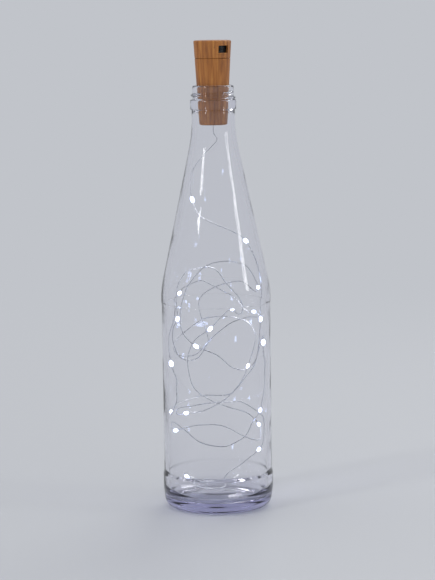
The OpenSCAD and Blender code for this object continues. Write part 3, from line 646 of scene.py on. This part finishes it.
add_node(tree, "ShaderNodeOutputMaterial", {"Surface": shader.outputs["BSDF"]})

# Black nylon, moulded and squeezed flat by the crimp: satin, with a faint mottle.
nylon_mottle = 0.0004
tree = new_material("moulded black nylon", cell_gaskets)
place = add_node(tree, "ShaderNodeTexCoord")
grain = add_node(tree, "ShaderNodeTexNoise", {
    "Vector": place.outputs["Object"], "Scale": 1 / nylon_mottle})
tone = add_node(tree, "ShaderNodeMix", {
    "Factor": grain.outputs["Fac"], "A": linear("#1C1C1D"), "B": linear("#2B2B2C")}, data_type="RGBA")
shader = add_node(tree, "ShaderNodeBsdfPrincipled", {
    "Base Color": tone.outputs["Result"], "Roughness": 0.5, "IOR": 1.53})
add_node(tree, "ShaderNodeOutputMaterial", {"Surface": shader.outputs["BSDF"]})


# The contacts
# The upper strip rests on the stack of cells, and the lower leaf springs up from the holder's floor.
# Both are stamped from rolled strip, so fine rolling lines, 0.15 mm apart, run along the stopper.
rolling_pitch, rolling_l = 0.00015, 0.004
for name, pieces, dull, bright in (
        ("stamped brass strip", ["positive_contact", "switch_terminals", "switch_wiper"],
         "#B08A4A", "#D6B673"),
        ("stamped spring steel", ["spring_contact"], "#A6A7A9", "#CDCED0")):
    tree = new_material(name, *[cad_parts[piece] for piece in pieces])
    place = add_node(tree, "ShaderNodeTexCoord")
    stretch = add_node(tree, "ShaderNodeMapping", {
        "Vector": place.outputs["Object"],
        "Scale": (1 / rolling_pitch, 1 / rolling_pitch, 1 / rolling_l)})
    lines = add_node(tree, "ShaderNodeTexNoise", {
        "Vector": stretch.outputs["Vector"], "Scale": 1, "Detail": 2})
    tone = add_node(tree, "ShaderNodeMix", {
        "Factor": lines.outputs["Fac"], "A": linear(dull), "B": linear(bright)}, data_type="RGBA")
    gloss = add_node(tree, "ShaderNodeMapRange", {
        "Value": lines.outputs["Fac"], "To Min": 0.22, "To Max": 0.42})
    shader = add_node(tree, "ShaderNodeBsdfPrincipled", {
        "Base Color": tone.outputs["Result"], "Metallic": 1, "Roughness": gloss.outputs["Result"]})
    add_node(tree, "ShaderNodeOutputMaterial", {"Surface": shader.outputs["BSDF"]})


# The circuit board
# Glass-fibre laminate under green solder mask, sawn to size. The copper tracks show as paler lines
# under the mask, 0.35 mm wide with 2.6 mm from one to the next. The sawn edges show the pale laminate.
board_half_w = 0.005
sawn_edge = 0.00005
track_half_pitch, track_w = 0.0013, 0.00035
track_bend_l, track_wander = 0.004, 0.0016
tree = new_material("green masked glass fibre laminate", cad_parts["circuit_board"])
place = add_node(tree, "ShaderNodeTexCoord")
square = add_node(tree, "ShaderNodeMapping", {
    "Vector": place.outputs["Object"], "Rotation": (0, 0, -stopper_turn)})
axes = add_node(tree, "ShaderNodeSeparateXYZ", {"Vector": square.outputs["Vector"]})
bend = add_node(tree, "ShaderNodeTexNoise", {
    "Vector": square.outputs["Vector"], "Scale": 1 / track_bend_l, "Detail": 0})
wander = add_node(tree, "ShaderNodeMath", {
    0: bend.outputs["Fac"], 1: track_wander}, operation="MULTIPLY")
across = add_node(tree, "ShaderNodeMath", {0: axes.outputs["X"], 1: wander.outputs[0]}, operation="ADD")
wave = add_node(tree, "ShaderNodeMath", {
    0: across.outputs[0], 1: track_half_pitch}, operation="PINGPONG")
track = add_node(tree, "ShaderNodeMath", {0: wave.outputs[0], 1: track_w / 2}, operation="LESS_THAN")
mask_tone = add_node(tree, "ShaderNodeMix", {
    "Factor": track.outputs[0], "A": linear("#0F4A26"), "B": linear("#23703A")}, data_type="RGBA")
from_middle = add_node(tree, "ShaderNodeMath", {0: axes.outputs["X"]}, operation="ABSOLUTE")
side_edge = add_node(tree, "ShaderNodeMath", {0: from_middle.outputs[0], 1: board_half_w - sawn_edge},
                     operation="GREATER_THAN")
tone = add_node(tree, "ShaderNodeMix", {
    "Factor": side_edge.outputs[0], "A": mask_tone.outputs["Result"], "B": linear("#B9B27A")},
    data_type="RGBA")
relief = add_node(tree, "ShaderNodeBump", {
    "Height": track.outputs[0], "Strength": 0.4, "Distance": 0.00004})
shader = add_node(tree, "ShaderNodeBsdfPrincipled", {
    "Base Color": tone.outputs["Result"], "Roughness": 0.3, "IOR": 1.55,
    "Normal": relief.outputs["Normal"]})
add_node(tree, "ShaderNodeOutputMaterial", {"Surface": shader.outputs["BSDF"]})


# The resistor
# A 3.2 by 1.6 mm ceramic chip under black glaze, with bright tinned ends that are soldered to the board.
resistor_mid_x, tin_from = 0.0026, 0.00115
glaze_grain = 0.0003
tree = new_material("glazed chip resistor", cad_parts["resistor"])
place = add_node(tree, "ShaderNodeTexCoord")
square = add_node(tree, "ShaderNodeMapping", {
    "Vector": place.outputs["Object"], "Rotation": (0, 0, -stopper_turn)})
axes = add_node(tree, "ShaderNodeSeparateXYZ", {"Vector": square.outputs["Vector"]})
from_middle = add_node(tree, "ShaderNodeMath", {
    0: axes.outputs["X"], 1: resistor_mid_x}, operation="SUBTRACT")
reach = add_node(tree, "ShaderNodeMath", {0: from_middle.outputs[0]}, operation="ABSOLUTE")
tinned = add_node(tree, "ShaderNodeMath", {0: reach.outputs[0], 1: tin_from}, operation="GREATER_THAN")
grain = add_node(tree, "ShaderNodeTexNoise", {
    "Vector": place.outputs["Object"], "Scale": 1 / glaze_grain})
glaze = add_node(tree, "ShaderNodeMix", {
    "Factor": grain.outputs["Fac"], "A": linear("#19191A"), "B": linear("#262627")}, data_type="RGBA")
tone = add_node(tree, "ShaderNodeMix", {
    "Factor": tinned.outputs[0], "A": glaze.outputs["Result"], "B": linear("#CFCFD0")},
    data_type="RGBA")
gloss = add_node(tree, "ShaderNodeMapRange", {
    "Value": grain.outputs["Fac"], "To Min": 0.22, "To Max": 0.4})
shader = add_node(tree, "ShaderNodeBsdfPrincipled", {
    "Base Color": tone.outputs["Result"], "Metallic": tinned.outputs[0],
    "Roughness": gloss.outputs["Result"]})
add_node(tree, "ShaderNodeOutputMaterial", {"Surface": shader.outputs["BSDF"]})


# The solder joints
# Tin solder, melted round the switch's three terminals. It is bright, with a slightly frosted skin
# where it froze.
frost_size = 0.0004
tree = new_material("tin solder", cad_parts["solder_joints"])
place = add_node(tree, "ShaderNodeTexCoord")
frost = add_node(tree, "ShaderNodeTexNoise", {
    "Vector": place.outputs["Object"], "Scale": 1 / frost_size, "Detail": 2})
tone = add_node(tree, "ShaderNodeMix", {
    "Factor": frost.outputs["Fac"], "A": linear("#B4B5B7"), "B": linear("#DADBDC")}, data_type="RGBA")
gloss = add_node(tree, "ShaderNodeMapRange", {
    "Value": frost.outputs["Fac"], "To Min": 0.15, "To Max": 0.4})
shader = add_node(tree, "ShaderNodeBsdfPrincipled", {
    "Base Color": tone.outputs["Result"], "Metallic": 1, "Roughness": gloss.outputs["Result"]})
add_node(tree, "ShaderNodeOutputMaterial", {"Surface": shader.outputs["BSDF"]})


# The slide switch
# A black nylon housing and a black acetal knob with grip ridges. They are moulded, with a fine matt
# grain of 0.15 mm, and the knob is polished a little by the fingers.
switch_grain = 0.00015
for name, node, dark, light, smooth, rough in (
        ("moulded black nylon housing", "switch_housing", "#141415", "#1F1F21", 0.34, 0.5),
        ("moulded black acetal", "switch_knob", "#19191A", "#262628", 0.28, 0.42)):
    tree = new_material(name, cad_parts[node])
    place = add_node(tree, "ShaderNodeTexCoord")
    grain = add_node(tree, "ShaderNodeTexNoise", {
        "Vector": place.outputs["Object"], "Scale": 1 / switch_grain, "Detail": 2})
    tone = add_node(tree, "ShaderNodeMix", {
        "Factor": grain.outputs["Fac"], "A": linear(dark), "B": linear(light)}, data_type="RGBA")
    gloss = add_node(tree, "ShaderNodeMapRange", {
        "Value": grain.outputs["Fac"], "To Min": smooth, "To Max": rough})
    relief = add_node(tree, "ShaderNodeBump", {
        "Height": grain.outputs["Fac"], "Strength": 0.4, "Distance": 0.00002})
    shader = add_node(tree, "ShaderNodeBsdfPrincipled", {
        "Base Color": tone.outputs["Result"], "Roughness": gloss.outputs["Result"], "IOR": 1.48,
        "Normal": relief.outputs["Normal"]})
    add_node(tree, "ShaderNodeOutputMaterial", {"Surface": shader.outputs["BSDF"]})

# The back plate is brown phenolic paper laminate, punched from sheet: faint fibres 0.25 mm wide, satin.
fibre_w, fibre_l = 0.00025, 0.002
tree = new_material("phenolic paper laminate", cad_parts["switch_base"])
place = add_node(tree, "ShaderNodeTexCoord")
stretch = add_node(tree, "ShaderNodeMapping", {
    "Vector": place.outputs["Object"], "Scale": (1 / fibre_l, 1 / fibre_l, 1 / fibre_w)})
fibres = add_node(tree, "ShaderNodeTexNoise", {
    "Vector": stretch.outputs["Vector"], "Scale": 1, "Detail": 3})
tone = add_node(tree, "ShaderNodeMix", {
    "Factor": fibres.outputs["Fac"], "A": linear("#5A3418"), "B": linear("#855530")}, data_type="RGBA")
shader = add_node(tree, "ShaderNodeBsdfPrincipled", {
    "Base Color": tone.outputs["Result"], "Roughness": 0.42, "IOR": 1.6})
add_node(tree, "ShaderNodeOutputMaterial", {"Surface": shader.outputs["BSDF"]})


# The two leads
# Stranded copper in soft PVC, 0.8 mm across, which has a slight sheen. The red one joins the upper
# contact to the switch, and the black one comes up a groove of the holder from the spring contact.
lead_d = 0.0008
lead_sides = 16
pvc_cloud = 0.0008
lead_routes = {
    "positive_lead": [
        (0, -4.05, 39.4), (0, -3.85, 40.6), (0, -3.8, 42.225), (0, -3.85, 43.85), (0, -3.9, 45)],
    "negative_lead": [
        (3, 5.2, 16.25), (3, 5.7, 16.25), (3, 6.15, 16.4), (3, 6.3, 16.9), (3, 6.3, 18.1),
        (3, 6.3, 23.02), (3, 6.3, 27.95), (3, 6.3, 32.88), (3, 6.3, 37.8), (2.9, 5, 40.4),
        (2.7, 2, 41.4), (2.4, -1, 42.2), (2.1, -3.1, 43.25), (2, -3.85, 44.25), (2, -3.9, 45)],
}
lead_finish = {
    "positive_lead": ("red_lead", "#8E1712", "#A8231C"),
    "negative_lead": ("black_lead", "#1B1B1C", "#2A2A2B"),
}
for node, route in lead_routes.items():
    slot, dark, light = lead_finish[node]
    lead_path = smooth_route(in_stopper(route), inner_steps)
    lead = add_piece("pvc_" + node, [strand(lead_path, lead_d, lead_sides)], "insert", crease=60)
    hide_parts(node)
    tree = new_material(slot.replace("_lead", " PVC insulation"), lead)
    place = add_node(tree, "ShaderNodeTexCoord")
    skin = add_node(tree, "ShaderNodeTexNoise", {
        "Vector": place.outputs["Object"], "Scale": 1 / pvc_cloud, "Detail": 2})
    tone = add_node(tree, "ShaderNodeMix", {
        "Factor": skin.outputs["Fac"], "A": linear(dark), "B": linear(light)}, data_type="RGBA")
    shader = add_node(tree, "ShaderNodeBsdfPrincipled", {
        "Base Color": tone.outputs["Result"], "Roughness": 0.36, "IOR": 1.53})
    add_node(tree, "ShaderNodeOutputMaterial", {"Surface": shader.outputs["BSDF"]})


# Studio
# A pale floor that runs to the horizon, three soft panels and a plain backdrop. Far off the floor
# takes the backdrop's flat tone, so that no line shows between them.
floor_half = 200
ground_z = -0.0002
flat_from, flat_to = 0.2, 1.1
backdrop = linear("#C1C4CA")
floor_mesh = bpy.data.meshes.new("floor")
floor_corners = [(floor_half * x, floor_half * y, 0) for x, y in ((-1, -1), (1, -1), (1, 1), (-1, 1))]
floor_mesh.from_pydata(floor_corners, [], [(0, 1, 2, 3)])
floor = bpy.data.objects.new("floor", floor_mesh)
floor.location.z = ground_z
bpy.context.scene.collection.objects.link(floor)


def seen_share(tree):
    """1 for rays that show in the picture, straight or by way of glass or metal, and 0 for other light."""
    path = add_node(tree, "ShaderNodeLightPath")
    straight = add_node(tree, "ShaderNodeMath", {
        0: path.outputs["Is Camera Ray"], 1: path.outputs["Is Transmission Ray"]}, operation="MAXIMUM")
    seen = add_node(tree, "ShaderNodeMath", {
        0: straight.outputs[0], 1: path.outputs["Is Glossy Ray"]}, operation="MAXIMUM")
    return seen.outputs[0]


# Matt paint on a smooth board: it keeps the bottle's soft shadow near by.
tree = new_material("pale matt floor", floor)
place = add_node(tree, "ShaderNodeNewGeometry")
away = add_node(tree, "ShaderNodeVectorMath", {0: place.outputs["Position"]}, operation="LENGTH")
far_off = add_node(tree, "ShaderNodeMapRange", {
    "Value": away.outputs["Value"], "From Min": flat_from, "From Max": flat_to},
    interpolation_type="SMOOTHSTEP")
share = add_node(tree, "ShaderNodeMath", {
    0: seen_share(tree), 1: far_off.outputs["Result"]}, operation="MULTIPLY")
shader = add_node(tree, "ShaderNodeBsdfPrincipled", {
    "Base Color": linear("#BCBFC5"), "Roughness": 0.6, "Specular IOR Level": 0.25})
flat = add_node(tree, "ShaderNodeEmission", {"Color": backdrop, "Strength": 1})
either = add_node(tree, "ShaderNodeMixShader", {
    0: share.outputs[0], 1: shader.outputs["BSDF"], 2: flat.outputs["Emission"]})
add_node(tree, "ShaderNodeOutputMaterial", {"Surface": either.outputs["Shader"]})

panels_face = Vector((0, 0, 0.15))
for name, place_at, size, power in (
        ("left panel", (-2.6, -2.2, 2.4), (0.35, 2.4), 26),
        ("right panel", (3.2, -1.0, 1.6), (0.3, 2.4), 16),
        ("back panel", (1.2, 3.0, 2.6), (2.2, 1.0), 42)):
    lamp = bpy.data.lights.new(name, "AREA")
    lamp.shape = "RECTANGLE"
    lamp.size, lamp.size_y = size
    lamp.energy = power
    panel = bpy.data.objects.new(name, lamp)
    panel.location = place_at
    panel.rotation_euler = (panels_face - panel.location).to_track_quat("-Z", "Y").to_euler()
    bpy.context.scene.collection.objects.link(panel)

# The studio round it: the backdrop's tone up to 20 degrees above the horizon, and from 49 degrees up a
# dark ceiling, which gives the glass its lines. The two values are the sines of these angles.
ceiling_from, ceiling_to = 0.35, 0.75
world = bpy.data.worlds.new("studio")
bpy.context.scene.world = world
world.use_nodes = True
tree = world.node_tree
tree.nodes.clear()
place = add_node(tree, "ShaderNodeTexCoord")
axes = add_node(tree, "ShaderNodeSeparateXYZ", {"Vector": place.outputs["Generated"]})
ceiling = add_node(tree, "ShaderNodeMapRange", {
    "Value": axes.outputs["Z"], "From Min": ceiling_from, "From Max": ceiling_to},
    interpolation_type="SMOOTHSTEP")
tone = add_node(tree, "ShaderNodeMix", {
    "Factor": ceiling.outputs["Result"], "A": backdrop, "B": linear("#4A4C52")}, data_type="RGBA")
shown = add_node(tree, "ShaderNodeBackground", {"Color": tone.outputs["Result"], "Strength": 1})
sky = add_node(tree, "ShaderNodeBackground", {"Color": linear("#FFFFFF"), "Strength": 0.8})
either = add_node(tree, "ShaderNodeMixShader", {
    0: seen_share(tree), 1: sky.outputs["Background"], 2: shown.outputs["Background"]})
add_node(tree, "ShaderNodeOutputWorld", {"Surface": either.outputs["Shader"]})
bpy.context.scene.view_settings.view_transform = "Standard"
